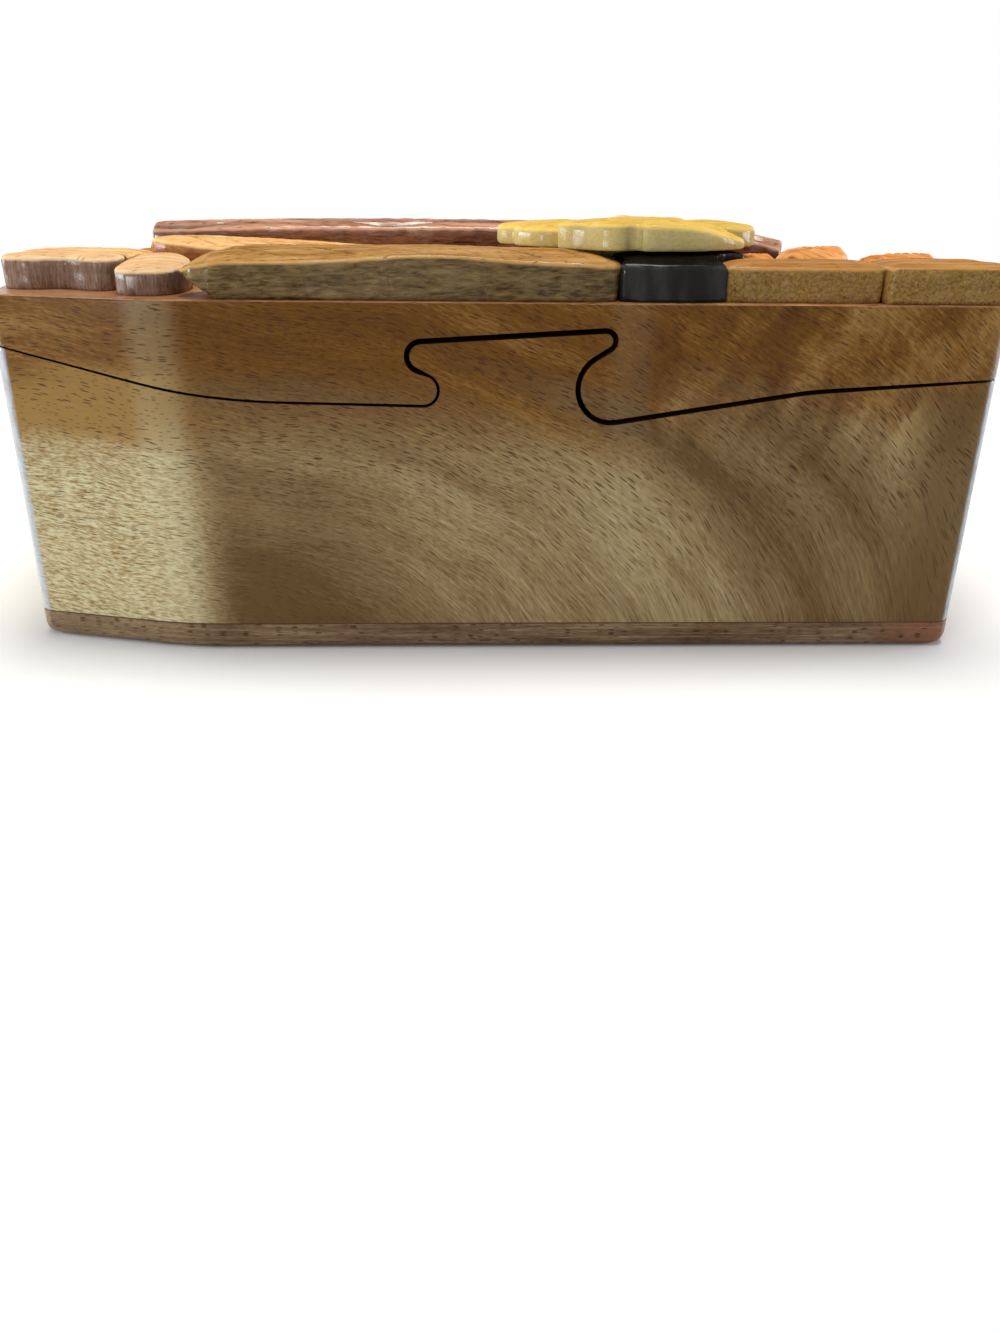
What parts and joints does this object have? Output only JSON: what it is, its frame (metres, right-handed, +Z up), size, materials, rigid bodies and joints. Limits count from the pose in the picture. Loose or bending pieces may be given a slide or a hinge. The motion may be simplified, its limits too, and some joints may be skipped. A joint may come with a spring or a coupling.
{
  "type": "wooden puzzle box",
  "caption": "Wooden box whose lid is locked by a jigsaw-shaped tongue and slides off sideways to the long front; carved wood relief of a blossom branch on the lid.",
  "frame": {"origin": "centre of the box's footprint, on the surface that it stands on", "axes": "+X along the box to the right as seen from the front, +Y to the back, +Z up"},
  "size_m": [0.214, 0.14, 0.0867],
  "materials": {
    "block_wood": "clear gloss varnish on figured brown wood",
    "board_wood": "clear gloss varnish on redder straight-grained wood",
    "lining_felt": "short flocked felt",
    "nickel": "nickel-plated magnet",
    "yellow_wood": "varnished yellow wood",
    "ebony": "glossy near-black wood",
    "olive_wood": "varnished olive-brown wood",
    "golden_wood": "varnished golden-brown wood with rough end grain",
    "orange_wood": "varnished orange wood",
    "red_wood": "varnished red-brown wood",
    "grey_brown_wood": "varnished grey-brown wood",
    "pale_wood": "varnished pale yellow wood"
  },
  "bodies": {
    "box": {"body_block": "block_wood", "bottom_board": "board_wood", "floor_lining": "lining_felt", "body_magnet_left": "nickel", "body_magnet_right": "nickel"},
    "lid": {"lid_slab": "block_wood", "blossom_petal_front": "yellow_wood", "blossom_petal_right": "yellow_wood", "blossom_petal_back_right": "yellow_wood", "blossom_petal_back_left": "yellow_wood", "blossom_petal_left": "yellow_wood", "blossom_centre": "pale_wood", "front_leaf": "olive_wood", "garden_step_right": "golden_wood", "garden_step_left": "golden_wood", "dark_bud": "ebony", "cloud_lobe_right": "grey_brown_wood", "cloud_lobe_front": "grey_brown_wood", "cloud_lobe_back": "orange_wood", "branch": "red_wood", "orange_leaf_left": "orange_wood", "orange_leaf_right_1": "orange_wood", "orange_leaf_right_2": "orange_wood", "orange_leaf_right_3": "orange_wood", "twig_left": "red_wood", "twig_right": "red_wood", "small_blossom_petal_1": "yellow_wood", "small_blossom_petal_2": "yellow_wood", "small_blossom_petal_3": "yellow_wood", "small_blossom_petal_4": "yellow_wood", "small_blossom_petal_5": "yellow_wood", "small_blossom_centre": "pale_wood", "back_leaf_left": "golden_wood", "back_leaf_far_left": "olive_wood", "back_leaf_middle": "olive_wood", "back_leaf_right": "orange_wood", "back_bud_right": "yellow_wood", "back_bud_left": "ebony", "lid_magnet_left": "nickel", "lid_magnet_right": "nickel"}
  },
  "joints": [
    {"name": "lid_slide", "type": "slide", "parent": "box", "child": "lid", "axis": [0, 1, 0], "range_m": [-0.15, 0.15]}
  ]
}
